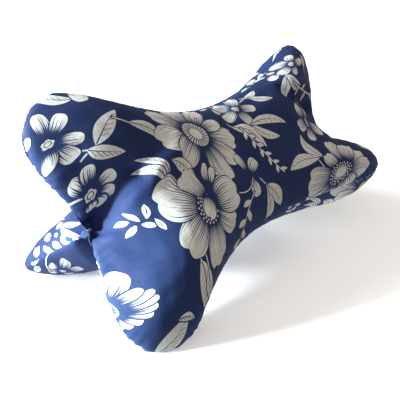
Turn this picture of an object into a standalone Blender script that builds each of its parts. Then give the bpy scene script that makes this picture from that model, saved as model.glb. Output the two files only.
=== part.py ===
"""A stuffed bone-shaped neck pillow: three equal panels of printed cotton, sewn edge to edge along three seams.

Each panel is a flat bone shape with four rounded ears and a narrow waist. Sewn together they make one filled
body with three ears at each end, a round waist for the neck, and a deep valley along the middle of each panel's
ends. The pillow stands on three ears: two near ones and one far one. X runs along it, from the near end to the far end, and +Z is up.
"""
import math
from collections import namedtuple

import bmesh
import bpy
from mathutils import Matrix, Vector

# Driving dimensions in metres, from the pillow's axis and its middle
NOTCH_FORWARD = 0.1877    # the end point, where the three seams meet between the ears
EAR_FORWARD = 0.1630      # centre of an ear's round outline, along the pillow
EAR_HEIGHT = 0.0789       # the same centre, away from the axis
EAR_RADIUS = 0.0449       # the round outline itself
WAIST_SEAM = 0.0798       # a seam's distance from the axis at the waist
WAIST_RADIUS = 0.0660     # a panel's middle line at the waist
VALLEY_POWER = 8.0        # how far from the ends the valley reaches
VALLEY_DEPTH = 1.45       # how steeply it opens at the ends
END_PACE = 2.0            # the middle line's step at the ends, against the same step along the seam

# The cloth's rise at a seam, in degrees from the plane of the two ears' seam, and the pull of each end of its
# cross curve as a share of the distance that the curve spans
WAIST_EDGE, EAR_EDGE = 84.0, 62.8
WAIST_PULL, EAR_PULL, VALLEY_PULL = 0.357, 0.306, 0.327
WAIST_UNTIL, EAR_FROM = 0.30, 0.75    # shares of the seam's half length between which one form turns into the other

TWIST = -5.25             # degrees that the far end is turned against the near end
BOW_ACROSS = 0.0012       # shift of the two ends towards +Y
SEAM_ANGLES = (90.0, 210.0, 330.0)
STEPS_ALONG = 72          # along a seam, from one end of the pillow to the other
STEPS_ACROSS = 10         # from a seam to the panel's middle line

# How each stuffed ear differs from the even one: end is -1 near and +1 far, seam counts the seams, swing turns it
# about the axis in degrees, reach lengthens it as a share, forward and lean move its root and its tip along the
# pillow, and point draws out its outer corner
OWN_FORM_FROM = 0.25      # share of the half length where an ear's own form starts
ROOT_RADIUS = 0.06        # distance from the axis within which it fades, so that the seams still meet at the end
LEAN_AT = 0.1             # distance from the axis at which an ear leans by its full amount
CORNER_AT, CORNER_SPREAD = 0.66, 0.13    # the outer corner, as shares of the seam's half length
Ear = namedtuple("Ear", "end seam swing reach forward lean point")
EARS = (
    Ear(-1, 0, -21.7, 0.060, 0.0008, -0.0052, -0.0051),
    Ear(-1, 1, 19.2, 0.053, 0.0005, 0.0004, 0.0059),
    Ear(-1, 2, 1.5, 0.028, 0.0101, -0.0064, 0.0194),
    Ear(1, 0, -6.6, -0.061, 0.0076, -0.0007, 0.0205),
    Ear(1, 1, -7.4, -0.120, 0.0071, 0.0125, -0.0015),
    Ear(1, 2, 0.0, 0.000, 0.0000, 0.0000, 0.0000),
)

# Main creases of the flat panels, each a soft trough between two points, or a soft ridge where its depth is
# negative: x along the panel and y across it, from the seam before it (negative) to the seam after it (positive)
Crease = namedtuple("Crease", "panel x0 y0 x1 y1 depth width")
CREASES = (
    Crease(0, -0.180, -0.006, -0.146, -0.020, 0.0095, 0.011),
    Crease(0, -0.137, -0.018, -0.094, -0.048, -0.0040, 0.009),
    Crease(0, -0.018, -0.052, -0.016, -0.004, 0.0030, 0.008),
    Crease(0, 0.096, -0.046, 0.136, -0.009, 0.0050, 0.009),
    Crease(1, -0.176, 0.007, -0.136, 0.024, 0.0070, 0.011),
    Crease(1, 0.176, -0.006, 0.138, -0.022, 0.0060, 0.010),
    Crease(2, -0.174, -0.006, -0.134, -0.022, 0.0070, 0.011),
    Crease(2, 0.174, 0.006, 0.140, 0.020, 0.0060, 0.010),
)

# The pose in which the pillow stands on its three lowest ears, each pressed flat where it touches
ROLL = -9.609             # degrees about the pillow's axis
PITCH = -0.270            # degrees about the level line across it
AXIS_HEIGHT = 0.0864
MIDDLE = (0.0052, 0.0031)

CLOTH_COLOUR = (0.035, 0.062, 0.190, 1.0)
CLOTH_ROUGHNESS = 0.85


def ease(start, stop, value):
    """0 before start, 1 after stop, and a smooth step between them."""
    share = min(1.0, max(0.0, (value - start) / (stop - start)))
    return share * share * (3.0 - 2.0 * share)


def paced(value, start_slope, stop_slope):
    """A cubic from (0, 0) to (1, 1) with the given slopes at its two ends."""
    bend = value ** 3 - value ** 2
    return (bend - value ** 2 + value) * start_slope + 3.0 * value ** 2 - 2.0 * value ** 3 + bend * stop_slope


def heading(angle):
    return Vector((math.cos(angle), math.sin(angle)))


def panel_edge():
    """A panel's outline on one side of its middle line, from the far notch over both ears to the near notch.

    Each row has the point, the direction into the panel, and a share that falls from 1 to -1 by length.
    """
    notch = Vector((NOTCH_FORWARD, 0.0))
    ear = Vector((EAR_FORWARD, EAR_HEIGHT))
    to_ear = ear - notch
    end_angle = math.atan2(to_ear.y, to_ear.x) - math.asin(EAR_RADIUS / to_ear.length)
    end_length = math.sqrt(to_ear.length_squared - EAR_RADIUS ** 2)
    rise = WAIST_SEAM - EAR_HEIGHT
    waist_curve = (EAR_FORWARD ** 2 + rise ** 2 - EAR_RADIUS ** 2) / (2.0 * (EAR_RADIUS - rise))
    ear_from = end_angle - math.pi / 2.0
    ear_to = math.atan2(rise + waist_curve, -EAR_FORWARD)
    waist_from = ear_to - math.pi
    lengths = (
        end_length,
        EAR_RADIUS * (ear_to - ear_from),
        waist_curve * (waist_from + math.pi / 2.0),
    )
    total = sum(lengths)
    rows = []
    for step in range(STEPS_ALONG // 2 + 1):
        along = total * step / (STEPS_ALONG // 2)
        if along <= lengths[0]:
            place = notch + along * heading(end_angle)
            inward = heading(end_angle + math.pi / 2.0)
        elif along <= lengths[0] + lengths[1]:
            toward = heading(ear_from + (along - lengths[0]) / EAR_RADIUS)
            place = ear + EAR_RADIUS * toward
            inward = -toward
        else:
            toward = heading(waist_from - (along - lengths[0] - lengths[1]) / waist_curve)
            place = Vector((0.0, WAIST_SEAM + waist_curve)) + waist_curve * toward
            inward = toward
        rows.append((place, inward, 1.0 - along / total))
    mirrored = [(Vector((-p.x, p.y)), Vector((-n.x, n.y)), -share) for p, n, share in rows[-2::-1]]
    return rows + mirrored, total


def half_panel():
    """The even half panel: rows of points (x, away from the axis, off the seam's plane) with their flat places."""
    edge, total = panel_edge()
    side = math.radians(180.0 / len(SEAM_ANGLES))
    rows = []
    for seam, inward, share in edge:
        middle_x = math.copysign(NOTCH_FORWARD * paced(abs(share), total / NOTCH_FORWARD, END_PACE), share)
        reach = min(1.0, abs(middle_x) / NOTCH_FORWARD)
        height = WAIST_RADIUS * (1.0 - reach ** VALLEY_POWER) ** VALLEY_DEPTH
        first = Vector((seam.x, seam.y, 0.0))
        last = Vector((middle_x, height * math.cos(side), height * math.sin(side)))
        span = (last - first).length
        ear = ease(WAIST_UNTIL, EAR_FROM, abs(share))
        rise = math.radians(WAIST_EDGE + (EAR_EDGE - WAIST_EDGE) * ear)
        leave = Vector((inward.x * math.cos(rise), inward.y * math.cos(rise), math.sin(rise)))
        arrive = Vector((0.0, -math.sin(side), math.cos(side)))
        second = first + leave * span * (WAIST_PULL + (EAR_PULL - WAIST_PULL) * ear)
        third = last - arrive * span * (WAIST_PULL + (VALLEY_PULL - WAIST_PULL) * ear)
        row = []
        for step in range(STEPS_ACROSS + 1):
            t = step / STEPS_ACROSS
            u = 1.0 - t
            point = u ** 3 * first + 3 * u * u * t * second + 3 * u * t * t * third + t ** 3 * last
            flat = Vector((seam.x * u + middle_x * t, seam.y * u))
            row.append((point, flat, share, u))
        rows.append(row)
    return rows


def shaped(point, share, near_seam, seam, side):
    """A point of the even half panel, moved by its ear's own form and turned to its seam's angle."""
    x, away, off = point.x, point.y, point.z * side
    ear = next(e for e in EARS if e.end == (1 if x >= 0.0 else -1) and e.seam == seam)
    reach = x / NOTCH_FORWARD
    weight = ease(OWN_FORM_FROM, 1.0, abs(reach)) * near_seam
    free = ease(0.0, ROOT_RADIUS, away)
    corner = math.exp(-((abs(share) - CORNER_AT) / CORNER_SPREAD) ** 2) * near_seam * free
    turn = math.radians(SEAM_ANGLES[seam] + TWIST * 0.5 * reach + ear.swing * weight * free)
    away = away * (1.0 + ear.reach * weight) + ear.point * corner
    x += ear.forward * weight * free + ear.lean * (away / LEAN_AT) ** 2 * weight
    across = away * math.cos(turn) - off * math.sin(turn) + BOW_ACROSS * reach ** 2
    up = away * math.sin(turn) + off * math.cos(turn)
    return Vector((x, across, up))


def trough(panel, place):
    """Depth of the main creases at a flat place of a panel."""
    depth = 0.0
    for crease in CREASES:
        if crease.panel != panel:
            continue
        start = Vector((crease.x0, crease.y0))
        run = Vector((crease.x1, crease.y1)) - start
        t = min(1.0, max(0.0, (place - start).dot(run) / run.length_squared))
        depth += crease.depth * math.exp(-((place - start - run * t).length / crease.width) ** 2)
    return depth


def sewn_cloth():
    """The three panels as one closed mesh, creased along the main folds."""
    rows = half_panel()
    mesh = bmesh.new()
    verts = {}
    places = {}

    def vertex(panel, side, i, j):
        seam = (panel + (side + 1) // 2) % 3
        if i in (0, STEPS_ALONG):
            key = ("end", i)
        elif j == 0:
            key = ("seam", seam, i)
        elif j == STEPS_ACROSS:
            key = ("middle", panel, i)
        else:
            key = (panel, side, i, j)
        point, flat, share, near_seam = rows[i][j]
        if key not in verts:
            verts[key] = mesh.verts.new(shaped(point, share, near_seam, seam, -side))
            places[verts[key]] = []
        if key[0] != "end":
            places[verts[key]].append((panel, Vector((flat.x, flat.y * side))))
        return verts[key]

    for panel in range(3):
        for side in (-1, 1):
            for i in range(STEPS_ALONG):
                for j in range(STEPS_ACROSS):
                    corners = [vertex(panel, side, i + a, j + b) for a, b in ((0, 0), (1, 0), (1, 1), (0, 1))]
                    corners = list(dict.fromkeys(corners))
                    mesh.faces.new(corners if side < 0 else corners[::-1])
    mesh.normal_update()
    moves = {v: max((trough(*place) for place in places[v]), default=0.0) * v.normal for v in mesh.verts}
    for v, move in moves.items():
        v.co -= move
    return mesh


def stand(mesh):
    """Sets the pillow on its three lowest ears and presses each flat at the surface, z = 0."""
    pose = Matrix.Translation((-MIDDLE[0], -MIDDLE[1], AXIS_HEIGHT))
    pose @= Matrix.Rotation(math.radians(PITCH), 4, "Y") @ Matrix.Rotation(math.radians(ROLL), 4, "X")
    bmesh.ops.transform(mesh, matrix=pose, verts=mesh.verts)
    everything = mesh.verts[:] + mesh.edges[:] + mesh.faces[:]
    cut = bmesh.ops.bisect_plane(
        mesh, geom=everything, dist=1e-5, plane_co=(0.0, 0.0, 0.0), plane_no=(0.0, 0.0, 1.0), clear_inner=True
    )
    rim = [e for e in cut["geom_cut"] if isinstance(e, bmesh.types.BMEdge)]
    bmesh.ops.triangulate(mesh, faces=bmesh.ops.holes_fill(mesh, edges=rim)["faces"])
    bmesh.ops.triangulate(mesh, faces=mesh.faces)


def cloth_material():
    material = bpy.data.materials.new("navy_floral_cotton")
    material.use_nodes = True
    shader = material.node_tree.nodes["Principled BSDF"]
    shader.inputs["Base Color"].default_value = CLOTH_COLOUR
    shader.inputs["Roughness"].default_value = CLOTH_ROUGHNESS
    shader.inputs["Metallic"].default_value = 0.0
    return material


def make_pillow():
    bm = sewn_cloth()
    stand(bm)
    mesh = bpy.data.meshes.new("pillow")
    bm.to_mesh(mesh)
    bm.free()
    mesh.shade_smooth()
    mesh.materials.append(cloth_material())
    pillow = bpy.data.objects.new("pillow", mesh)
    bpy.context.scene.collection.objects.link(pillow)


for old in list(bpy.data.objects):
    bpy.data.objects.remove(old, do_unlink=True)
make_pillow()
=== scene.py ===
"""A bone-shaped neck pillow of navy cotton with a cream floral print, standing on three of its six ears."""
import math
from collections import namedtuple

import bmesh
import bpy
import numpy as np
from mathutils import Matrix, Vector
from mathutils.bvhtree import BVHTree


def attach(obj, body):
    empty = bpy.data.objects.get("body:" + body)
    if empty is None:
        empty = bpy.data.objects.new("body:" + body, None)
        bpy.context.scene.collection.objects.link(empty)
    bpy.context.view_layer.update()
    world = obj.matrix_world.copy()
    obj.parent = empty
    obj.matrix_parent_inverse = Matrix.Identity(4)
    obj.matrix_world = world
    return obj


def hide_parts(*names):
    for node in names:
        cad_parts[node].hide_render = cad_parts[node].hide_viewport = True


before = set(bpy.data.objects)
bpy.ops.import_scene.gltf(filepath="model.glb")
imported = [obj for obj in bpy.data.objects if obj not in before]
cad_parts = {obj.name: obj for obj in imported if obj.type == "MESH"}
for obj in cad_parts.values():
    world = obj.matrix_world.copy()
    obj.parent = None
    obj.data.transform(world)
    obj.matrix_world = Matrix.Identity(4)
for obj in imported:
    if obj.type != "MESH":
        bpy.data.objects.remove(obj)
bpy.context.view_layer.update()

# The cover: three equal bone-shaped panels of cotton, sewn edge to edge along three seams and stuffed tight
# with loose fibre. A panel has an ear at each corner, a notch between the two ears of each end, and a narrow
# waist. Sizes are in metres, from the pillow's axis and its middle.
NOTCH_FORWARD = 0.1877
EAR_FORWARD, EAR_HEIGHT, EAR_RADIUS = 0.1630, 0.0789, 0.0449
WAIST_SEAM, WAIST_RADIUS = 0.0798, 0.0660
VALLEY_POWER, VALLEY_DEPTH = 8.0, 1.45
END_PACE = 2.0
WAIST_EDGE, EAR_EDGE = math.radians(84.0), math.radians(62.8)
WAIST_PULL, EAR_PULL, VALLEY_PULL = 0.357, 0.306, 0.327
WAIST_UNTIL, EAR_FROM = 0.30, 0.75
TWIST = math.radians(-5.25)
BOW_ACROSS = 0.0012
OWN_FORM_FROM, ROOT_RADIUS, LEAN_AT = 0.25, 0.06, 0.1
CORNER_AT, CORNER_SPREAD = 0.66, 0.13
ALONG, ACROSS = 144, 40          # faces of one panel's grid, along it and from seam to seam
SEAM_APART = 0.7                 # keeps the three seams apart in the coordinates that run along them

Ear = namedtuple("Ear", "end seam swing reach forward lean point")
EARS = (
    Ear(-1, 0, -21.7, 0.060, 0.0008, -0.0052, -0.0051),
    Ear(-1, 1, 19.2, 0.053, 0.0005, 0.0004, 0.0059),
    Ear(-1, 2, 1.5, 0.028, 0.0101, -0.0064, 0.0194),
    Ear(1, 0, -6.6, -0.061, 0.0076, -0.0007, 0.0205),
    Ear(1, 1, -7.4, -0.120, 0.0071, 0.0125, -0.0015),
    Ear(1, 2, 0.0, 0.000, 0.0000, 0.0000, 0.0000),
)
ROLL, PITCH = math.radians(-9.609), math.radians(-0.270)
AXIS_HEIGHT = 0.0864
MIDDLE = (0.0052, 0.0031)
STANDING = Matrix.Translation((-MIDDLE[0], -MIDDLE[1], AXIS_HEIGHT))
STANDING @= Matrix.Rotation(PITCH, 4, "Y") @ Matrix.Rotation(ROLL, 4, "X")


def ease(start, stop, value):
    share = np.clip((value - start) / (stop - start), 0.0, 1.0)
    return share * share * (3.0 - 2.0 * share)


def seam_line(share):
    """Places on a panel's outline and the directions into the panel, for shares from -1 (near) to 1 (far)."""
    to_ear = Vector((EAR_FORWARD - NOTCH_FORWARD, EAR_HEIGHT))
    end_angle = math.atan2(to_ear.y, to_ear.x) - math.asin(EAR_RADIUS / to_ear.length)
    end_length = math.sqrt(to_ear.length_squared - EAR_RADIUS ** 2)
    rise = WAIST_SEAM - EAR_HEIGHT
    waist_curve = (EAR_FORWARD ** 2 + rise ** 2 - EAR_RADIUS ** 2) / (2.0 * (EAR_RADIUS - rise))
    ear_from = end_angle - math.pi / 2.0
    ear_to = math.atan2(rise + waist_curve, -EAR_FORWARD)
    ear_length = EAR_RADIUS * (ear_to - ear_from)
    total = end_length + ear_length + waist_curve * (ear_to - math.pi / 2.0)
    along = total * (1.0 - np.abs(share))
    round_ear = ear_from + (along - end_length) / EAR_RADIUS
    round_waist = ear_to - math.pi - (along - end_length - ear_length) / waist_curve
    on_end, on_ear = along <= end_length, along <= end_length + ear_length
    inward = np.where(on_end, end_angle + math.pi / 2.0,
                      np.where(on_ear, round_ear + math.pi, round_waist))
    x = np.where(on_end, NOTCH_FORWARD + along * math.cos(end_angle),
                 np.where(on_ear, EAR_FORWARD + EAR_RADIUS * np.cos(round_ear),
                          waist_curve * np.cos(round_waist)))
    y = np.where(on_end, along * math.sin(end_angle),
                 np.where(on_ear, EAR_HEIGHT + EAR_RADIUS * np.sin(round_ear),
                          WAIST_SEAM + waist_curve * (1.0 + np.sin(round_waist))))
    far = np.where(share < 0.0, -1.0, 1.0)
    return x * far, y, np.cos(inward) * far, np.sin(inward), total


def stuffed(share, across, panel):
    """Places of a panel's grid points on the filled pillow and on the flat cloth.

    share runs along the panel and across from seam to seam, both from -1 to 1.
    """
    seam_x, seam_y, into_x, into_y, total = seam_line(share)
    near_seam = np.abs(across)
    size = np.abs(share)
    pace = ((size ** 3 - 2.0 * size ** 2 + size) * total / NOTCH_FORWARD + 3.0 * size ** 2 - 2.0 * size ** 3
            + (size ** 3 - size ** 2) * END_PACE)
    middle_x = np.sign(share) * NOTCH_FORWARD * pace
    height = WAIST_RADIUS * (1.0 - np.clip(pace, 0.0, 1.0) ** VALLEY_POWER) ** VALLEY_DEPTH
    first = np.stack([seam_x, seam_y, np.zeros_like(share)], -1)
    last = np.stack([middle_x, height * 0.5, height * math.sqrt(0.75)], -1)
    span = np.linalg.norm(last - first, axis=-1)[:, None]
    ear = ease(WAIST_UNTIL, EAR_FROM, size)[:, None]
    edge = WAIST_EDGE + (EAR_EDGE - WAIST_EDGE) * ear[:, 0]
    leave = np.stack([into_x * np.cos(edge), into_y * np.cos(edge), np.sin(edge)], -1)
    arrive = np.array([0.0, -math.sqrt(0.75), 0.5])
    second = first + leave * span * (WAIST_PULL + (EAR_PULL - WAIST_PULL) * ear)
    third = last - arrive * span * (WAIST_PULL + (VALLEY_PULL - WAIST_PULL) * ear)
    u = near_seam[:, None]
    t = 1.0 - u
    x, away, off = (u ** 3 * first + 3 * u * u * t * second + 3 * u * t * t * third + t ** 3 * last).T
    side = np.where(across < 0.0, -1.0, 1.0)
    seam = (panel + (side > 0.0)) % 3
    own = {(e.end, e.seam): np.array(e[2:]) for e in EARS}
    keys = zip(np.where(x >= 0.0, 1, -1).tolist(), seam.tolist())
    swing, reach_by, forward, lean, point = np.array([own[key] for key in keys]).T
    reach = x / NOTCH_FORWARD
    weight = ease(OWN_FORM_FROM, 1.0, np.abs(reach)) * near_seam
    free = ease(0.0, ROOT_RADIUS, away)
    corner = np.exp(-((size - CORNER_AT) / CORNER_SPREAD) ** 2) * near_seam * free
    turn = np.radians(90.0 + 120.0 * seam + swing * weight * free) + TWIST * 0.5 * reach
    away = away * (1.0 + reach_by * weight) + point * corner
    x = x + forward * weight * free + lean * (away / LEAN_AT) ** 2 * weight
    off = -off * side
    place = np.stack([x, away * np.cos(turn) - off * np.sin(turn) + BOW_ACROSS * reach ** 2,
                      away * np.sin(turn) + off * np.cos(turn)], -1)
    flat = np.stack([seam_x * near_seam + middle_x * (1.0 - near_seam), seam_y * across], -1)
    return place, flat


def read(values, name, width):
    """One property of every item, as rows of numbers."""
    found = np.empty(len(values) * width, np.float64)
    values.foreach_get(name, found)
    return found.reshape(-1, width) if width > 1 else found


def sewn_cover():
    """The three panels' grids, filled out and joined along their seams."""
    mesh = bpy.data.meshes.new("cover")
    bm = bmesh.new()
    for panel in range(3):
        made = bmesh.ops.create_grid(bm, x_segments=ALONG, y_segments=ACROSS, size=1.0)
        bmesh.ops.translate(bm, verts=made["verts"], vec=(0.0, 0.0, panel))
    bmesh.ops.reverse_faces(bm, faces=bm.faces)
    bm.to_mesh(mesh)
    bm.free()
    share, across, level = read(mesh.vertices, "co", 3).T
    panel = np.rint(level).astype(int)
    place, flat = stuffed(share, across, panel)
    mesh.vertices.foreach_set("co", place.astype(np.float32).ravel())
    corner_verts = read(mesh.loops, "vertex_index", 1).astype(int)
    mesh.uv_layers.new(name="flat").uv.foreach_set("vector", flat[corner_verts].astype(np.float32).ravel())
    seam_x, seam_y, _, _, total = seam_line(share)
    inward = np.hypot(seam_x - flat[:, 0], np.sign(across) * seam_y - flat[:, 1])
    seam_number = (panel + (across > 0.0)) % 3
    rim = np.stack([share * total + SEAM_APART * seam_number, inward], 1)
    mesh.uv_layers.new(name="rim").uv.foreach_set("vector", rim[corner_verts].astype(np.float32).ravel())
    of_panel = mesh.attributes.new("panel", "FLOAT", "FACE")
    starts = read(mesh.polygons, "loop_start", 1).astype(int)
    of_panel.data.foreach_set("value", panel[corner_verts[starts]].astype(np.float32))
    bm = bmesh.new()
    bm.from_mesh(mesh)
    bmesh.ops.remove_doubles(bm, verts=bm.verts, dist=1e-5)
    bm.to_mesh(mesh)
    bm.free()
    return mesh


# Creases of the panels, in millimetres on the flat cloth: soft troughs, or ridges where the depth is below
# nought. Each runs through its points, and its depth goes from the first value to the last.
Crease = namedtuple("Crease", "panel points first last width")
CREASES = (
    Crease(0, ((-187, -1), (-180, -4), (-169, -10), (-153, -17)), 8.5, 8.0, 6),
    Crease(0, ((-182, -30), (-168, -36), (-150, -48)), -2.5, -1.5, 12),
    Crease(0, ((-193, -46), (-201, -70), (-199, -94), (-185, -110), (-160, -117)), -6.5, -4.0, 8),
    Crease(0, ((-178, -16), (-165, -23), (-150, -32), (-132, -44)), 7.0, 3.0, 15),
    Crease(0, ((-152, -18), (-141, -26), (-128, -37), (-112, -45)), 6.0, 3.0, 6),
    Crease(0, ((-182, 4), (-166, -2), (-150, -8), (-139, -16)), -1.5, -3.5, 9),
    Crease(0, ((-139, -16), (-124, -26), (-110, -34), (-96, -44)), -6.0, -4.5, 7),
    Crease(0, ((-98, -38), (-106, -27), (-116, -19), (-128, -12)), -4.5, -4.0, 5),
    Crease(0, ((-133, -6), (-119, -10), (-105, -17)), 3.0, 1.5, 5),
    Crease(0, ((-110, -14), (-122, 12), (-146, 34), (-172, 56), (-188, 84)), -3.0, -5.0, 20),
    Crease(0, ((-187, -16), (-190, -6)), -1.6, -1.2, 5),
    Crease(0, ((-181, 1), (-163, 0), (-142, 0)), 2.0, 0.9, 4),
    Crease(0, ((-184, 3), (-171, 8), (-155, 14)), 1.7, 0.6, 4),
    Crease(0, ((-187, 9), (-180, 19), (-170, 28)), 1.6, 0.6, 4),
    Crease(0, ((-190, 14), (-188, 30), (-186, 46)), 1.5, 0.6, 5),
    Crease(0, ((2, -62), (-8, -34), (-15, -2), (-13, 20)), 3.6, 1.5, 8),
    Crease(0, ((14, -56), (8, -30), (2, -4)), -1.8, -0.6, 8),
    Crease(0, ((94, -58), (104, -45), (126, -29), (152, -17)), 8.0, 13.0, 5),
    Crease(0, ((102, -68), (126, -48), (152, -34)), -5.0, -7.0, 8),
    Crease(0, ((62, -44), (84, -22), (112, -8)), -2.5, -1.5, 11),
    Crease(0, ((140, -10), (106, 8), (70, 20)), 5.0, 2.0, 12),
    Crease(0, ((176, 8), (160, 30), (150, 52)), 3.0, 1.2, 9),
    Crease(1, ((-184, 5), (-160, 14), (-136, 24)), 8.0, 4.0, 10),
    Crease(1, ((-178, 0), (-158, -4), (-140, -4)), 1.6, 0.6, 5),
    Crease(1, ((-20, -54), (-12, -20), (-16, 16)), 3.0, 1.4, 8),
    Crease(1, ((184, -4), (160, -12), (134, -24)), 8.0, 3.5, 10),
    Crease(1, ((178, 4), (158, 10), (140, 22)), 2.0, 0.8, 6),
    Crease(2, ((-184, -4), (-160, -13), (-134, -22)), 8.0, 3.5, 10),
    Crease(2, ((-178, 3), (-158, 8), (-140, 18)), 2.0, 0.8, 6),
    Crease(2, ((10, 54), (16, 22), (8, -18)), 3.2, 1.2, 8),
    Crease(2, ((184, 5), (162, 12), (138, 22)), 8.0, 3.5, 10),
    Crease(2, ((178, -3), (160, -9), (142, -20)), 2.0, 0.8, 6),
)
# Small ripples where the thread draws a seam in, the sunken seam, and slack in the cloth over the fibre
PUCKER_DEPTH, PUCKER_PITCH, PUCKER_REACH = 0.0008, 0.0105, 0.012
SEAM_DEPTH, SEAM_WIDTH = 0.0009, 0.0022
SOFT_DEPTH, SOFT_PITCH = 0.0004, 0.037


def corner_places(mesh):
    """For each corner of the mesh: its vertex, its place on the flat panel, and its panel."""
    corner_verts = read(mesh.loops, "vertex_index", 1).astype(int)
    flat = read(mesh.uv_layers["flat"].uv, "vector", 2)
    counts = read(mesh.polygons, "loop_total", 1).astype(int)
    panel = np.repeat(np.rint(read(mesh.attributes["panel"].data, "value", 1)).astype(int), counts)
    return corner_verts, flat, panel


def push(mesh, depth):
    """Moves each vertex against its normal by the mean depth of its corners."""
    corner_verts = read(mesh.loops, "vertex_index", 1).astype(int)
    count = np.bincount(corner_verts, minlength=len(mesh.vertices))
    mean = np.bincount(corner_verts, depth, len(mesh.vertices)) / np.maximum(count, 1)
    normal = read(mesh.vertices, "normal", 3)
    place = read(mesh.vertices, "co", 3) - mean[:, None] * normal
    mesh.vertices.foreach_set("co", place.astype(np.float32).ravel())
    mesh.update()


def crease(mesh):
    """Presses the creases into the cover."""
    _, flat, panel = corner_places(mesh)
    depth = np.zeros(len(flat))
    for row in CREASES:
        here = panel == row.panel
        points = np.array(row.points) * 0.001
        steps = np.linalg.norm(np.diff(points, axis=0), axis=1)
        nearest = np.full(here.sum(), np.inf)
        share = np.zeros(here.sum())
        for number, (start, stop) in enumerate(zip(points, points[1:])):
            run = stop - start
            along = np.clip((flat[here] - start) @ run / (run @ run), 0.0, 1.0)
            away = np.linalg.norm(flat[here] - start - along[:, None] * run, axis=1)
            closer = away < nearest
            share[closer] = (steps[:number].sum() + along[closer] * steps[number]) / steps.sum()
            nearest = np.minimum(nearest, away)
        full = row.first + (row.last - row.first) * share
        depth[here] += 0.001 * full * np.exp(-(nearest / (0.001 * row.width)) ** 2)
    push(mesh, depth)


def pucker(mesh):
    """Ripples the cloth along its seams, sinks the seams, and lets the panels wave a little.

    The factors inside the sines only keep the waves from repeating.
    """
    _, flat, panel = corner_places(mesh)
    along, inward = read(mesh.uv_layers["rim"].uv, "vector", 2).T
    lap = math.tau * along / PUCKER_PITCH
    uneven = 0.55 + 0.45 * np.sin(along * 61.0) * np.sin(along * 23.0 + 1.0)
    ripple = np.sin(lap + 1.9 * np.sin(lap * 0.31)) * uneven * np.exp(-(inward / PUCKER_REACH) ** 2)
    wave = math.tau / SOFT_PITCH
    x, y = flat.T * wave
    slack = np.sin(x + 0.7 * y + 1.3 * np.sin(0.6 * y + panel)) * np.sin(0.8 * y - 0.5 * x + 2.0 * panel)
    slack += 0.5 * np.sin(2.1 * x - 1.4 * y + panel) * np.sin(1.2 * x + 1.9 * y)
    depth = PUCKER_DEPTH * ripple + SEAM_DEPTH * np.exp(-(inward / SEAM_WIDTH) ** 2)
    push(mesh, depth + SOFT_DEPTH * slack * (1.0 - np.exp(-(inward / PUCKER_REACH) ** 2)))


cover = sewn_cover()
crease(cover)
cover.transform(STANDING)
pillow = bpy.data.objects.new("printed_cover", cover)
bpy.context.scene.collection.objects.link(pillow)
finer = pillow.modifiers.new("finer", "SUBSURF")
finer.levels = finer.render_levels = 1
finer.uv_smooth = "PRESERVE_BOUNDARIES"
fine = bpy.data.meshes.new_from_object(pillow.evaluated_get(bpy.context.evaluated_depsgraph_get()))
pillow.modifiers.clear()
pillow.data = fine
pucker(fine)
place = read(fine.vertices, "co", 3)
place[:, 2] = np.maximum(place[:, 2], 0.0)
fine.vertices.foreach_set("co", place.astype(np.float32).ravel())
fine.shade_smooth()
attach(pillow, "root")
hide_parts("pillow")


# The print: flowers, leaves and sprigs in cream on navy, each kind drawn by a formula of its own. They are
# placed one by one, in millimetres and degrees from the middle of the front panel, the later over the
# earlier.
# The other two panels are cut from the same cloth at other places.
FLOWER, PETAL, LEAF, SPRIG, DISC = range(1, 6)
PLAIN, TICKED, DOTTED = range(3)
LAYERS = 5                        # how many motifs may lie over each other on one face
FACE_MARGIN = 0.003               # from a face's middle to a motif that may still touch the face
REPEAT = np.array([0.440, 0.290])
Cut = namedtuple("Cut", "turn x y")
CUTS = (Cut(0.0, 0.0, 0.0), Cut(0.0, 223.0, 61.0), Cut(180.0, -240.0, 97.0))
Motif = namedtuple("Motif", "kind x y turn long wide count bend", defaults=(0, 0.0))


def bloom(x, y, disc, centre, petals):
    """A large blossom: its petals, given by turn, length from the middle and width, under a round centre."""
    rows = []
    for turn, long, wide in petals:
        out = 0.45 * disc
        angle = math.radians(turn)
        rows.append(Motif(PETAL, x + out * math.cos(angle), y + out * math.sin(angle), turn, long - out, wide,
                          5 + round(wide / 4)))
    return rows + [Motif(DISC, x, y, 0, disc, 0, centre)]


def flower(x, y, turn, long, petals=5):
    """A small flower: a ring of like petals under a plain round centre."""
    return [Motif(FLOWER, x, y, turn, long, 0.54 * long, petals), Motif(DISC, x, y, 0, 0.18 * long, 0, PLAIN)]


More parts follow.
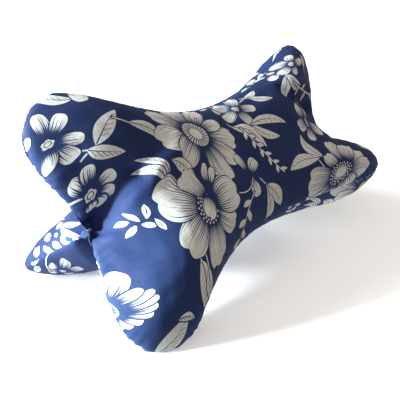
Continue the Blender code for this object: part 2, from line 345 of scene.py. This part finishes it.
MOTIFS = [
    Motif(LEAF, -153, -102, -138, 32, 12, 0, -0.1),
    Motif(LEAF, -124, -112, -160, 22, 8, 0, 0.1),
    Motif(PETAL, -143, -122, 99, 27, 14, 8),
    Motif(LEAF, -206, -50, 78, 30, 9, 0, 0.1),
    Motif(PETAL, -217, -67, 10, 13, 10, 4),
    Motif(PETAL, -211, -90, 24, 13, 10, 4),
    Motif(LEAF, -169, -51, -37, 44, 13, 14, -0.08),
    Motif(LEAF, -175, -49, 30, 24, 14, 14, 0.08),
    *bloom(-192, -73, 4.4, PLAIN, ((-77, 32, 12), (-43, 30, 12), (27, 23, 14), (68, 28, 11), (102, 20, 11))),
    Motif(SPRIG, -202, -32, 30, 20, 0, 30),
    *bloom(-182, -20, 3.6, PLAIN, ((-113, 18, 9), (-76, 18, 9), (-13, 17, 9), (30, 14, 8), (66, 12, 7),
                                   (100, 9, 6))),
    Motif(LEAF, -134, -64, 46, 36, 12, 12, -0.1),
    Motif(LEAF, -127, -8, -142, 31, 8, 0, 0.16),
    Motif(LEAF, -129, -4, -155, 31, 7, 0, 0.16),
    *bloom(-66, -40, 15, TICKED, ((-139, 50, 24), (180, 55, 28), (150, 46, 28), (22, 52, 28), (52, 54, 20),
                                 (80, 60, 24), (-10, 42, 18), (-95, 46, 24), (-52, 48, 24))),
    Motif(LEAF, -123, -20, 42, 36, 13, 0, -0.12),
    Motif(LEAF, -165, 0, 78, 8, 4),
    Motif(LEAF, -159, 8, -41, 11, 4),
    Motif(LEAF, -168, 5, -169, 8, 4),
    Motif(LEAF, -164, 10, 32, 9, 4),
    Motif(LEAF, -154, 20, -97, 10, 4),
    Motif(LEAF, -167, 9, 149, 10, 4),
    Motif(LEAF, -137, 61, 90, 40, 15, 20, -0.08),
    Motif(LEAF, -128, 71, 80, 32, 11, 16, 0.08),
    Motif(PETAL, -88, 13, -40, 24, 8, 3),
    Motif(PETAL, -90, 12, -62, 24, 8, 3),
    Motif(PETAL, -86, 16, -18, 22, 8, 3),
    *bloom(-107, 28, 15, DOTTED, ((38, 48, 24), (92, 50, 32), (156, 46, 37), (-142, 47, 35))),
    Motif(PETAL, -101, 20, -108, 30, 24, 7),
    Motif(PETAL, -98, 27, 0, 46, 36, 13),
    Motif(PETAL, -95, 19, 135, 24, 19, 6),
    *flower(0, -78, 40, 20),
    *flower(16, -56, 14, 27),
    Motif(LEAF, 38, -80, -80, 20, 7),
    Motif(LEAF, 42, -68, -18, 24, 9, 10, 0.1),
    Motif(LEAF, 48, -66, 32, 30, 10, 12, 0.1),
    Motif(LEAF, -7, -36, 54, 46, 15, 8, -0.1),
    Motif(LEAF, 17, -29, 36, 42, 12, 0, 0.12),
    Motif(LEAF, 17, -29, 14, 58, 12, 0, -0.12),
    Motif(SPRIG, 0, -31, 66, 72, 10, 13, 0.06),
    Motif(PETAL, -25, 18, -108, 24, 10, 3),
    Motif(PETAL, -25, 20, -36, 22, 14, 5),
    Motif(PETAL, -25, 21, 86, 24, 15, 5),
    Motif(SPRIG, -22, 24, 165, 30, 0, 40, -0.2),
    Motif(LEAF, -6, 38, 58, 38, 17, 12, -0.1),
    Motif(LEAF, -7, 46, 98, 46, 13, 8, -0.12),
    Motif(SPRIG, -28, 38, 126, 68, 15, 22, 0.06),
    Motif(LEAF, -20, 92, 170, 36, 10, 0, 0.1),
    Motif(LEAF, 8, 84, 165, 32, 9, 0, 0.1),
    *flower(106, -91, -20, 22),
    *flower(129, -84, -52, 25),
    Motif(LEAF, 107, -68, 112, 26, 14),
    Motif(LEAF, 108, -72, 58, 38, 11, 0, 0.1),
    Motif(SPRIG, 112, -56, 32, 58, 10, 24, 0.08),
    Motif(LEAF, 158, -62, -70, 26, 10, 8),
    *flower(117, -5, -110, 26),
    Motif(SPRIG, 88, 36, 84, 30, 0, 40, 0.1),
    Motif(LEAF, 95, 41, -100, 38, 16, 0, -0.1),
    Motif(LEAF, 90, 40, -176, 52, 17, 0, 0.1),
    *bloom(104, 77, 15, DOTTED, ((-10, 50, 26), (28, 46, 28), (72, 44, 26), (120, 46, 28), (160, 48, 28),
                                (-162, 46, 36), (-95, 36, 20), (-57, 60, 24), (-33, 62, 24))),
    Motif(LEAF, 176, 60, 60, 34, 14, 0, 0.1),
    *bloom(-208, 65, 7, TICKED, ((110, 26, 16), (-112, 30, 16), (140, 28, 16), (-145, 30, 17), (178, 28, 17),
                                 (-77, 35, 9), (-53, 35, 12), (84, 17, 7), (60, 18, 7), (38, 21, 7),
                                 (20, 26, 7), (8, 29, 7), (-4, 31, 7), (-16, 31, 7), (-29, 28, 7))),
    Motif(LEAF, -192, 113, -30, 40, 21, 0, 0.08),
    Motif(LEAF, -167, 91, 29, 18, 7, 0, -0.1),
    *bloom(40, 120, 3, PLAIN, ((-113, 17, 11), (-62, 20, 9), (119, 14, 9), (172, 14, 9), (24, 13, 9))),
    Motif(LEAF, 12, 112, 160, 20, 7, 0, -0.1),
    Motif(LEAF, 16, 132, 96, 15, 7),
    Motif(LEAF, 22, 134, 70, 15, 7),
    Motif(SPRIG, 18, 120, 30, 18, 0, 30, 0.1),
    Motif(SPRIG, 6, 180, -50, 44, 0, 50, 0.12),
    *flower(-12, 150, -10, 20),
    *flower(62, 158, 50, 22),
    Motif(LEAF, 78, 140, -40, 24, 9, 8, 0.1),
    Motif(LEAF, 82, 166, 16, 30, 10, 8, -0.1),
    Motif(SPRIG, 20, 172, 24, 40, 8, 11, 0.08),
    *flower(94, 118, 30, 19),
    Motif(LEAF, -57, 133, -80, 26, 5, 0, 0.1),
    Motif(LEAF, -61, 131, -92, 24, 5, 0, 0.1),
    *bloom(-52, 139, 2.4, PLAIN, ((-166, 14, 9), (92, 15, 10), (-64, 14, 10), (-112, 12, 7), (16, 14, 9))),
    *flower(-38, 114, 40, 15),
    Motif(LEAF, -47, 167, 8, 13, 4),
    Motif(LEAF, -46, 161, 30, 13, 5),
    Motif(PETAL, -48, 153, 4, 14, 7, 3),
    Motif(LEAF, -84, 124, 168, 26, 9, 8, 0.1),
    Motif(LEAF, -72, 140, 120, 34, 12, 8, -0.1),
    Motif(SPRIG, -58, 176, 150, 48, 9, 12, -0.06),
    *flower(-96, 172, 60, 21),
    Motif(LEAF, -112, 150, -130, 28, 9, 0, 0.1),
]


def touches(motif, x, y, margin):
    """Whether points of a motif's own frame lie within a margin of it."""
    long, wide = motif.long * 0.001, motif.wide * 0.001
    if motif.kind in (FLOWER, DISC):
        return np.hypot(x, y) < long * 1.15 + margin
    along = np.clip(x / long, 0.0, 1.0)
    across = np.abs(y - motif.bend * long * 4.0 * along * (1.0 - along))
    if motif.kind == SPRIG:
        return (x > -margin) & (x < long + wide + margin) & (across < wide + margin)
    share = np.clip((x + margin) / (long + 2.0 * margin), 0.0, 1.0)
    half = 0.5 * wide * np.minimum(1.0, 3.2 * np.minimum(share, 1.0 - share) ** 0.5)
    stem = motif.count * 0.001 if motif.kind == LEAF else 0.0
    return (x > -stem - margin) & (x < long + margin) & (across < half + margin)


def lay_print(mesh):
    """Stores each face's topmost motifs: their forms, and where its corners lie in their own frames."""
    _, flat, panel = corner_places(mesh)
    counts = read(mesh.polygons, "loop_total", 1).astype(int)
    starts = read(mesh.polygons, "loop_start", 1).astype(int)
    face = np.repeat(np.arange(len(counts)), counts)
    cloth = np.empty_like(flat)
    for number, cut in enumerate(CUTS):
        turn, here = math.radians(cut.turn), panel == number
        x, y = flat[here].T
        cloth[here, 0] = x * math.cos(turn) - y * math.sin(turn) + cut.x * 0.001
        cloth[here, 1] = x * math.sin(turn) + y * math.cos(turn) + cut.y * 0.001
    middle = np.add.reduceat(cloth, starts, axis=0) / counts[:, None]
    rows = MOTIFS + [Motif(0, 0, 0, 0, 1, 0)]
    origin = np.array([[row.x, row.y] for row in rows]) * 0.001
    turned = np.radians([row.turn for row in rows])
    on_top = np.full((LAYERS, len(counts)), len(MOTIFS))

    def own_frame(points, near, number):
        apart = points - origin[number]
        apart = apart - np.rint((near - origin[number]) / REPEAT) * REPEAT
        cosine, sine = np.cos(turned[number]), np.sin(turned[number])
        return apart[:, 0] * cosine + apart[:, 1] * sine, apart[:, 1] * cosine - apart[:, 0] * sine

    for number, row in enumerate(MOTIFS):
        here = touches(row, *own_frame(middle, middle, number), FACE_MARGIN)
        on_top[1:, here] = on_top[:-1, here]
        on_top[0, here] = number
    forms = np.array([[row.kind, row.count, number % 17 + 0.5] for number, row in enumerate(rows)])
    sizes = np.array([[row.long * 0.001, row.wide * 0.0005, row.bend] for row in rows])
    sizes[:, 1] *= np.where(forms[:, 0] == SPRIG, 2.0, 1.0)
    for layer in range(LAYERS):
        number = on_top[layer][face]
        x, y = own_frame(cloth, middle[face], number)
        spot = mesh.attributes.new(f"print_{layer}_spot", "FLOAT_VECTOR", "CORNER")
        spot.data.foreach_set("vector", np.stack([x, y, 0.0 * x], 1).astype(np.float32).ravel())
        for name, values in (("form", forms), ("size", sizes)):
            made = mesh.attributes.new(f"print_{layer}_{name}", "FLOAT_VECTOR", "FACE")
            made.data.foreach_set("vector", values[on_top[layer]].astype(np.float32).ravel())


# The cotton: a matte plain weave of thin yarns, dyed navy and printed in cream. Its colour and its relief are
# worked out on the flat cloth, so the print and the threads follow the panels.
class Value:
    """A socket of a material, with the sums of numbers written as sums."""

    def __init__(self, socket):
        self.socket = socket
        self.tree = socket.id_data

    def with_(self, operation, *others, swap=False):
        inputs = [self, *others]
        if swap:
            inputs.reverse()
        return node(self.tree, "ShaderNodeMath", {"operation": operation}, *inputs)

    def __add__(self, other):
        return self.with_("ADD", other)

    def __radd__(self, other):
        return self.with_("ADD", other)

    def __sub__(self, other):
        return self.with_("SUBTRACT", other)

    def __rsub__(self, other):
        return self.with_("SUBTRACT", other, swap=True)

    def __mul__(self, other):
        return self.with_("MULTIPLY", other)

    def __rmul__(self, other):
        return self.with_("MULTIPLY", other)

    def __truediv__(self, other):
        return self.with_("DIVIDE", other)

    def __rtruediv__(self, other):
        return self.with_("DIVIDE", other, swap=True)

    def __pow__(self, other):
        return self.with_("POWER", other)

    def __lt__(self, other):
        return self.with_("LESS_THAN", other)

    def __gt__(self, other):
        return self.with_("GREATER_THAN", other)

    def __abs__(self):
        return self.with_("ABSOLUTE")


def node(tree, kind, settings, *inputs, out=0):
    """Adds a node, with its settings first and then its sockets in order, by value or by link."""
    made = tree.nodes.new(kind)
    for name, value in settings.items():
        setattr(made, name, value)
    sockets = [s for s in made.inputs if s.enabled]
    for socket, value in zip(sockets, inputs):
        if isinstance(value, Value):
            tree.links.new(value.socket, socket)
        elif value is not None:
            socket.default_value = value
    return Value([s for s in made.outputs if s.enabled][out])


def lowest(first, *others):
    for other in others:
        first = first.with_("MINIMUM", other)
    return first


def highest(first, other):
    return first.with_("MAXIMUM", other)


def clamped(value):
    return node(value.tree, "ShaderNodeClamp", {}, value)


def parts(vector):
    made = node(vector.tree, "ShaderNodeSeparateXYZ", {}, vector).socket.node
    return [Value(s) for s in made.outputs]


def chance(first, second):
    """Three even chances from 0 to 1 that belong to two numbers."""
    place = node(first.tree, "ShaderNodeCombineXYZ", {}, first, second)
    return parts(node(first.tree, "ShaderNodeTexWhiteNoise", {"noise_dimensions": "2D"}, place, out=1))


def inside(depth, softness=0.0003):
    """1 where a depth in metres is above nought, with an edge as soft as ink on cloth."""
    return clamped(depth / softness + 0.5)


# How petals and leaves are drawn. Shares are of a blade's length or width, and the rest is in metres.
BLUNT, POINTED = 0.36, 0.95      # how the end of a petal and of a leaf close
SWELL = 0.8                      # how both widen from their base
SMALL, SLIM_BASE = 0.0092, 0.35  # petals of less than this half width are plain, and slim at their base
SCALLOPS, SCALLOP_DEPTH = 3.4, 0.07
LEAST_LONG, LONG_SPREAD = 0.84, 0.30     # a small flower's petals, uneven in length and in width
LEAST_WIDE, WIDE_SPREAD = 0.86, 0.28
PETAL_LEAN, PETAL_GAP = 0.16, 0.0002
LEAFLET_WIDE, LEAFLET_STEP = 0.23, 0.4
STEM = 0.0007                    # half the width of a printed stem
STEM_INTO_LEAF = 0.15
GAP = 0.0011                     # the navy line round a motif that lies over another
# How the lines inside them are drawn, in navy on the cream
FLOWER_LINES = 7.0
HATCH, HATCH_UNTIL, HATCH_SPREAD = 0.0010, 0.52, 0.50
WASH = 0.20                      # how far a petal darkens at its base
RIB, RIB_TAPER, RIB_FROM, RIB_UNTIL = 0.0005, 1.1, 0.03, 0.9
NARROW, NARROW_RIB_FROM = 0.003, 0.3     # a leaf of less than this half width has no veins
VEIN, VEIN_STEP, VEIN_SLOPE, VEIN_REACH, VEIN_FROM, VEIN_INK = 0.00028, 0.15, 1.2, 0.72, 0.12, 0.8
VEIN_ACROSS = 0.64               # from the step along the rib to the distance across a slanting vein
# How a round centre is drawn
LOBES, LOBE_DEPTH = 2.5, 0.22
RING, RING_AT = 0.0003, 0.52
TICK_COUNT, TICK, TICK_FROM, TICK_UNTIL = 26.0, 0.00055, 0.55, 0.97
DOT_COUNT, DOT_ROW, DOT, DOTS_FROM = 17.0, 0.19, 0.0011, 0.45
TINY = 0.0001                    # keeps divisions by a width or a length above nought
MILLIMETRE = 0.001


def peak(tip):
    """What brings the widest place of a blade with such a tip up to 1."""
    at = SWELL / (SWELL + tip)
    return 1.0 / (at ** SWELL * (1.0 - at) ** tip)


motif_tree = bpy.data.node_groups.new("printed_motif", "ShaderNodeTree")
for name in ("spot", "form", "size"):
    motif_tree.interface.new_socket(name, in_out="INPUT", socket_type="NodeSocketVector")
for name in ("cream", "cleared"):
    motif_tree.interface.new_socket(name, in_out="OUTPUT", socket_type="NodeSocketFloat")
given = motif_tree.nodes.new("NodeGroupInput")
x, y, _ = parts(Value(given.outputs["spot"]))
kind, count, seed = parts(Value(given.outputs["form"]))
long, wide, bend = parts(Value(given.outputs["size"]))
is_flower, is_petal, is_leaf, is_sprig, is_disc = (
    abs(kind - k) < 0.5 for k in (FLOWER, PETAL, LEAF, SPRIG, DISC))


def pick(usual, for_flower=None, for_sprig=None):
    """The usual value, or a flower's or a sprig's own."""
    if for_flower is not None:
        usual = usual + is_flower * (for_flower - usual)
    if for_sprig is not None:
        usual = usual + is_sprig * (for_sprig - usual)
    return usual


middle_away = (x * x + y * y) ** 0.5
angle = y.with_("ARCTAN2", x)
turns = angle * count / math.tau
petal = turns.with_("ROUND")
petal_number = petal.with_("FLOORED_MODULO", highest(count, 1.0))
petal_long, petal_wide, petal_lean = chance(petal_number, seed)
off_axis = (turns - petal) * math.tau / highest(count, 1.0)
share = clamped(x / long)
across = y - bend * long * 4.0 * share * (1.0 - share)
pitch = highest(count * MILLIMETRE, MILLIMETRE)
past = x - abs(across) + pitch * 0.5 * (across > 0.0)
leaflet = (past / pitch).with_("ROUND") * pitch
off_leaflet = past - leaflet

leaning = off_axis + PETAL_LEAN * (petal_lean - 0.5)
u = pick(x, middle_away * off_axis.with_("COSINE"), (off_leaflet + 2.0 * abs(across)) / math.sqrt(2.0))
v = pick(across, middle_away * leaning.with_("SINE"), off_leaflet / math.sqrt(2.0))
blade_long = pick(long, long * (LEAST_LONG + LONG_SPREAD * petal_long), wide)
blade_wide = pick(wide, wide * (LEAST_WIDE + WIDE_SPREAD * petal_wide), wide * LEAFLET_WIDE)
blunt = is_flower + is_petal
scallop = 1.0 - abs((v / highest(blade_wide, TINY) * SCALLOPS + seed).with_("SINE"))
scallop = scallop * is_petal * SCALLOP_DEPTH * (wide > SMALL)
s = clamped(u / blade_long * (1.0 + scallop))
half = blade_wide * (s ** SWELL) * ((1.0 - s) ** (POINTED + blunt * (BLUNT - POINTED)))
half = half * (peak(POINTED) + blunt * (peak(BLUNT) - peak(POINTED)))
half = half * (1.0 - SLIM_BASE * ((1.0 - s) ** 2.0) * is_petal * (wide < SMALL))
depth = lowest(half - abs(v), u, blade_long - u)
side = (math.pi / highest(count, 1.0) - abs(off_axis)) * middle_away - PETAL_GAP
depth = pick(depth, lowest(depth, side), lowest(depth, leaflet - LEAFLET_STEP * pitch, long - leaflet))
stem_from = x + is_leaf * count * MILLIMETRE
stem_to = long * (is_leaf * STEM_INTO_LEAF + is_sprig) - x
stem = lowest(STEM - abs(across), stem_from, stem_to)
depth = highest(depth, stem)
lobes = 1.0 - LOBE_DEPTH * (1.0 - abs((angle * LOBES).with_("COSINE"))) * (count < 0.5)
depth = depth + is_disc * (long * lobes - middle_away - depth)
depth = depth - (kind < 0.5)

lines = pick(highest(count, 1.0), for_flower=FLOWER_LINES)
lane = (v / highest(half, TINY) * 0.5 + 0.5) * lines
line = lane.with_("FLOOR")
line_long, _, _ = chance(line, seed + petal_number * 3.7)
fade = clamped(1.0 - s / (HATCH_UNTIL + HATCH_SPREAD * line_long))
off_line = abs(lane - line - 0.5) * half * 2.0 / lines
hatch = inside(HATCH * fade - off_line) * (fade > 0.0) * blunt
wash = ((1.0 - s) ** 2.0) * WASH * blunt
rib = inside(RIB * (RIB_TAPER - s) - abs(v)) * (s < RIB_UNTIL)
rib = rib * (s > RIB_FROM + NARROW_RIB_FROM * (wide < NARROW))
vein_pitch = highest(long * VEIN_STEP, TINY)
vein_lane = (u - VEIN_SLOPE * abs(v)) / vein_pitch
off_vein = abs(vein_lane.with_("FRACT") - 0.5) * vein_pitch * VEIN_ACROSS
on_vein_side = (abs(v) < half * VEIN_REACH) * (s > VEIN_FROM) * (v > 0.0) * (wide > NARROW)
veins = inside(VEIN - off_vein) * on_vein_side
leaf_ink = highest(rib, veins * VEIN_INK) * is_leaf * (u > 0.0)
disc_share = middle_away / long
ring = inside(RING - abs(disc_share - RING_AT) * long)
tick_lane = angle * TICK_COUNT / math.tau
off_tick = abs(tick_lane.with_("FRACT") - 0.5) * middle_away * math.tau / TICK_COUNT
ticks = inside(TICK - off_tick) * (disc_share > TICK_FROM) * (disc_share < TICK_UNTIL)
row_lane = (disc_share - DOTS_FROM) / DOT_ROW
dot_lane = angle * DOT_COUNT / math.tau + row_lane.with_("FLOOR") * 0.5
across_dot = (dot_lane.with_("FRACT") - 0.5) * middle_away * math.tau / DOT_COUNT
along_dot = (row_lane.with_("FRACT") - 0.5) * DOT_ROW * long
dots = inside(DOT - (across_dot * across_dot + along_dot * along_dot) ** 0.5)
dotted = (1.0 - dots) * (disc_share > DOTS_FROM)
is_ticked, is_dotted = (abs(count - k) < 0.5 for k in (TICKED, DOTTED))
disc_ink = highest(ring, ticks * is_ticked) * (count < 0.5 * (TICKED + DOTTED)) + dotted * is_dotted
ink = clamped(hatch + wash + leaf_ink + disc_ink * is_disc)
wanted = motif_tree.nodes.new("NodeGroupOutput")
motif_tree.links.new((inside(depth) * (1.0 - ink)).socket, wanted.inputs["cream"])
motif_tree.links.new(inside(depth + GAP).socket, wanted.inputs["cleared"])

THREAD = 0.00038                 # from one thread of the plain weave to the next
WEAVE_STRENGTH, WEAVE_DEPTH = 0.5, 0.00006
SLUB, MOTTLE, MOTTLE_SCALE = 0.16, 0.30, 420.0
WORN, WORN_FULL, WORN_REACH, WORN_PATCHES = 0.35, 1.3, 0.0016, 3.0   # faded cloth on the seams, in patches
NAVY = (0.028, 0.047, 0.135, 1.0)
FADED = (0.12, 0.16, 0.27, 1.0)
CREAM = (0.77, 0.745, 0.71, 1.0)
COTTON_ROUGHNESS, COTTON_SPECULAR = 0.7, 0.25


def thread(place, along, phase):
    """One set of threads: its height, over and under the other set in turn, and how light each is dyed."""
    lane = place / THREAD
    number = lane.with_("FLOOR")
    rise = (along / THREAD * math.pi + (number + phase) * math.pi).with_("COSINE")
    light, _, _ = chance(number, (along * 40.0).with_("FLOOR") + phase * 100.0)
    return (lane.with_("FRACT") * math.pi).with_("SINE") * (0.75 + 0.25 * rise), light


cotton = bpy.data.materials.new("printed_cotton")
cotton.use_nodes = True
tree = cotton.node_tree
shader = tree.nodes["Principled BSDF"]
printed = None
for layer in reversed(range(LAYERS)):
    motif = tree.nodes.new("ShaderNodeGroup")
    motif.node_tree = motif_tree
    for name in ("spot", "form", "size"):
        stored = node(tree, "ShaderNodeAttribute", {"attribute_name": f"print_{layer}_{name}"}, out=1)
        tree.links.new(stored.socket, motif.inputs[name])
    cream, cleared = Value(motif.outputs["cream"]), Value(motif.outputs["cleared"])
    printed = cream if printed is None else printed * (1.0 - cleared) + cream
on_cloth = node(tree, "ShaderNodeUVMap", {"uv_map": "flat"})
across_warp, across_weft, _ = parts(on_cloth)
mottle = node(tree, "ShaderNodeTexNoise", {"noise_dimensions": "2D"}, on_cloth, MOTTLE_SCALE, 3.0, 0.6)
warp, warp_bright = thread(across_warp, across_weft, 0.0)
weft, weft_bright = thread(across_weft, across_warp, 0.5)
cloth_height = highest(warp, weft)
bright = 1.0 + SLUB * (warp_bright + weft_bright - 1.0) + MOTTLE * (mottle - 0.5)
from_seam = parts(node(tree, "ShaderNodeUVMap", {"uv_map": "rim"}))[1]
worn = clamped(WORN_FULL - from_seam / WORN_REACH) * clamped(mottle * WORN_PATCHES - 1.0)
faded = node(tree, "ShaderNodeMix", {"data_type": "RGBA"}, worn * WORN, NAVY, FADED)
colour = node(tree, "ShaderNodeMix", {"data_type": "RGBA"}, printed, faded, CREAM)
shade = node(tree, "ShaderNodeCombineXYZ", {}, bright, bright, bright)
colour = node(tree, "ShaderNodeMix", {"data_type": "RGBA", "blend_type": "MULTIPLY"}, 1.0, colour, shade)
tree.links.new(colour.socket, shader.inputs["Base Color"])
weave = node(tree, "ShaderNodeBump", {}, WEAVE_STRENGTH, WEAVE_DEPTH, None, cloth_height)
tree.links.new(weave.socket, shader.inputs["Normal"])
shader.inputs["Roughness"].default_value = COTTON_ROUGHNESS
shader.inputs["Specular IOR Level"].default_value = COTTON_SPECULAR
lay_print(fine)
fine.materials.clear()
fine.materials.append(cotton)

# The closing stitches: short whip stitches of navy thread over the seam, on the rim of the near upper ear.
# They are sewn by hand and a little uneven. The photo's short dark ticks there are taken to be these.
GAP_START, GAP_END = -0.104, -0.081      # where they lie on the front panel, across it
STITCHES, STITCH_HALF, STRAND_RADIUS = 11, 0.0038, 0.00036
STITCH_SLANT, STITCH_UNEVEN, UNEVEN_PACE = math.radians(14.0), math.radians(9.0), 2.4
STITCH_LIFT = 0.0005
STRAND_SIDES, STRAND_CUTS = 6, 5
NEAR_SIDE = -0.15                        # the rim of the ear lies nearer than this
RIM_MARGIN, SEAM_STEP, ON_SEAM = 0.01, 0.001, 0.0002
STITCH_NAVY, STITCH_SHEEN = (0.010, 0.014, 0.040, 1.0), (0.030, 0.045, 0.110, 1.0)
FIBRE_SCALE, FIBRE_STRENGTH, FIBRE_DEPTH = 2600.0, 0.5, 0.00004
STITCH_ROUGHNESS = 0.55

corner_verts, flat, panel = corner_places(fine)
from_rim = read(fine.uv_layers["rim"].uv, "vector", 2)[:, 1]
on_rim = (panel == 0) & (from_rim < ON_SEAM) & (flat[:, 0] < NEAR_SIDE)
on_rim &= (flat[:, 1] > GAP_START - RIM_MARGIN) & (flat[:, 1] < GAP_END + RIM_MARGIN)
rim_verts, first_corner = np.unique(corner_verts[on_rim], return_index=True)
along_rim = flat[on_rim][first_corner, 1]
order = np.argsort(along_rim)
along_rim, rim_verts = along_rim[order], rim_verts[order]
rim_places = read(fine.vertices, "co", 3)[rim_verts]
rim_normals = read(fine.vertices, "normal", 3)[rim_verts]


def on_seam(values, at):
    """One of the seam's values between its vertices, at a height on the front panel."""
    return Vector([np.interp(at, along_rim, column) for column in values.T])


bm = bmesh.new()
bmesh.ops.create_cone(bm, cap_ends=True, segments=STRAND_SIDES, radius1=STRAND_RADIUS, radius2=STRAND_RADIUS,
                      depth=2.0 * STITCH_HALF)
lengthways = [edge for edge in bm.edges if edge.calc_length() > STITCH_HALF]
bmesh.ops.subdivide_edges(bm, edges=lengthways, cuts=STRAND_CUTS)
one_stitch = bpy.data.meshes.new("one_stitch")
bm.to_mesh(one_stitch)
bm.clear()
cloth_surface = BVHTree.FromObject(pillow, bpy.context.evaluated_depsgraph_get())
for number, at in enumerate(np.linspace(GAP_START, GAP_END, STITCHES)):
    bm.from_mesh(one_stitch)
    added = bm.verts[-len(one_stitch.vertices):]
    out = on_seam(rim_normals, at).normalized()
    seamward = (on_seam(rim_places, at + SEAM_STEP) - on_seam(rim_places, at - SEAM_STEP)).normalized()
    across_seam = out.cross(seamward).normalized()
    axes = Matrix((out, across_seam.cross(out), across_seam)).transposed()
    slant = Matrix.Rotation(STITCH_SLANT + STITCH_UNEVEN * math.sin(UNEVEN_PACE * number), 3, "X")
    place = Matrix.Translation(on_seam(rim_places, at)) @ (axes @ slant).to_4x4()
    for vert in added:
        on_strand = place @ Vector((0.0, 0.0, vert.co.z))
        foot, outward, _, _ = cloth_surface.find_nearest(on_strand)
        vert.co = place @ vert.co + foot + STITCH_LIFT * outward - on_strand
stitch_mesh = bpy.data.meshes.new("closing_stitches")
bm.to_mesh(stitch_mesh)
bm.free()
stitch_mesh.shade_smooth()
stitches = bpy.data.objects.new("closing_stitches", stitch_mesh)
bpy.context.scene.collection.objects.link(stitches)
strand = bpy.data.materials.new("navy_thread")
strand.use_nodes = True
tree = strand.node_tree
shader = tree.nodes["Principled BSDF"]
on_thread = node(tree, "ShaderNodeTexCoord", {}, out=3)
fibre = node(tree, "ShaderNodeTexNoise", {}, on_thread, None, FIBRE_SCALE, 2.0, 0.6)
dyed = node(tree, "ShaderNodeMix", {"data_type": "RGBA"}, fibre, STITCH_NAVY, STITCH_SHEEN)
relief = node(tree, "ShaderNodeBump", {}, FIBRE_STRENGTH, FIBRE_DEPTH, None, fibre)
tree.links.new(dyed.socket, shader.inputs["Base Color"])
tree.links.new(relief.socket, shader.inputs["Normal"])
shader.inputs["Roughness"].default_value = STITCH_ROUGHNESS
stitch_mesh.materials.append(strand)
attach(stitches, "root")

# The studio: a pale paper floor that glows a little of itself, and a dim soft sky. The pillow is lit by a
# large soft window low on the left, a softbox on the near end and the light that the paper throws back.
FLOOR_HALF = 6.0
PAPER_COLOUR, PAPER_ROUGHNESS = (0.92, 0.89, 0.87, 1.0), 0.9
PAPER_GLOW, GLOW_COLOUR = 0.28, (1.0, 1.0, 1.0, 1.0)
SKY_LOW, SKY_HIGH, SKY_COLOUR = 0.22, 0.62, (1.0, 0.95, 0.89, 1.0)
COOL = (0.78, 0.94, 1.0)
NEAR_END = Vector((-0.178, -0.045, 0.072))
SOFTBOX_AWAY = 1.2

floor_mesh = bpy.data.meshes.new("floor")
bm = bmesh.new()
bmesh.ops.create_grid(bm, x_segments=1, y_segments=1, size=FLOOR_HALF)
bm.to_mesh(floor_mesh)
bm.free()
floor = bpy.data.objects.new("floor", floor_mesh)
bpy.context.scene.collection.objects.link(floor)
floor.visible_diffuse = False
floor.visible_shadow = False
paper = bpy.data.materials.new("white_paper")
paper.use_nodes = True
paper_shader = paper.node_tree.nodes["Principled BSDF"]
paper_shader.inputs["Base Color"].default_value = PAPER_COLOUR
paper_shader.inputs["Roughness"].default_value = PAPER_ROUGHNESS
paper_shader.inputs["Emission Color"].default_value = GLOW_COLOUR
paper_shader.inputs["Emission Strength"].default_value = PAPER_GLOW
floor_mesh.materials.append(paper)

world = bpy.data.worlds.new("studio")
world.use_nodes = True
sky_tree = world.node_tree
direction = node(sky_tree, "ShaderNodeTexCoord", {})
height = clamped(parts(direction)[2])
sky = SKY_LOW + (SKY_HIGH - SKY_LOW) * height
sky_tree.nodes["Background"].inputs["Color"].default_value = SKY_COLOUR
sky_tree.links.new(sky.socket, sky_tree.nodes["Background"].inputs["Strength"])
bpy.context.scene.world = world


def toward(turn, rise):
    """The direction that a turn about Z and a rise over the floor give, in degrees."""
    turn, rise = math.radians(turn), math.radians(rise)
    return Vector((math.cos(turn) * math.cos(rise), math.sin(turn) * math.cos(rise), math.sin(rise)))


def lamp(name, kind, source, place=(0.0, 0.0, 0.0), **settings):
    """A cool lamp that shines from the direction of its source, and through a place if it has one."""
    light = bpy.data.lights.new(name, kind)
    light.color = COOL
    for key, value in settings.items():
        setattr(light, key, value)
    made = bpy.data.objects.new(name, light)
    made.rotation_euler = source.to_track_quat("Z", "Y").to_euler()
    made.location = Vector(place)
    bpy.context.scene.collection.objects.link(made)


softbox_from = toward(150.0, 12.0)
lamp("window", "SUN", toward(133.0, 16.0), angle=math.radians(40.0), energy=6.2)
lamp("paper_glow", "SUN", toward(165.0, -45.0), angle=math.radians(50.0), energy=2.6)
lamp("softbox", "SPOT", softbox_from, NEAR_END + softbox_from * SOFTBOX_AWAY, energy=380.0,
     spot_size=math.radians(10.6), spot_blend=1.0, shadow_soft_size=0.12)

# The camera: before the near end and a little above it, at the photograph's angle to the pillow. Its focal
# length is in pixels of a picture 400 pixels wide.
CAMERA_AT = Vector((-0.4282, -0.3619, 0.3118))
CAMERA_TURN, CAMERA_TILT = math.radians(-47.427), math.radians(24.811)
CAMERA_ROLL = math.radians(-0.337)
FOCAL_PIXELS, PICTURE_PIXELS, SENSOR = 518.85, 400, 36.0
camera_data = bpy.data.cameras.new("camera")
camera_data.sensor_width = SENSOR
camera_data.lens = SENSOR * FOCAL_PIXELS / PICTURE_PIXELS
camera = bpy.data.objects.new("camera", camera_data)
back = Vector((math.sin(CAMERA_TURN) * math.cos(CAMERA_TILT), -math.cos(CAMERA_TURN) * math.cos(CAMERA_TILT),
               math.sin(CAMERA_TILT)))
level = Vector((math.cos(CAMERA_TURN), math.sin(CAMERA_TURN), 0.0))
right = Matrix.Rotation(CAMERA_ROLL, 3, back) @ level
facing = Matrix((right, back.cross(right), back)).transposed()
camera.matrix_world = Matrix.Translation(CAMERA_AT) @ facing.to_4x4()
bpy.context.scene.collection.objects.link(camera)
bpy.context.scene.camera = camera
bpy.context.scene.view_settings.view_transform = "Standard"
bpy.context.scene.view_settings.look = "Medium High Contrast"
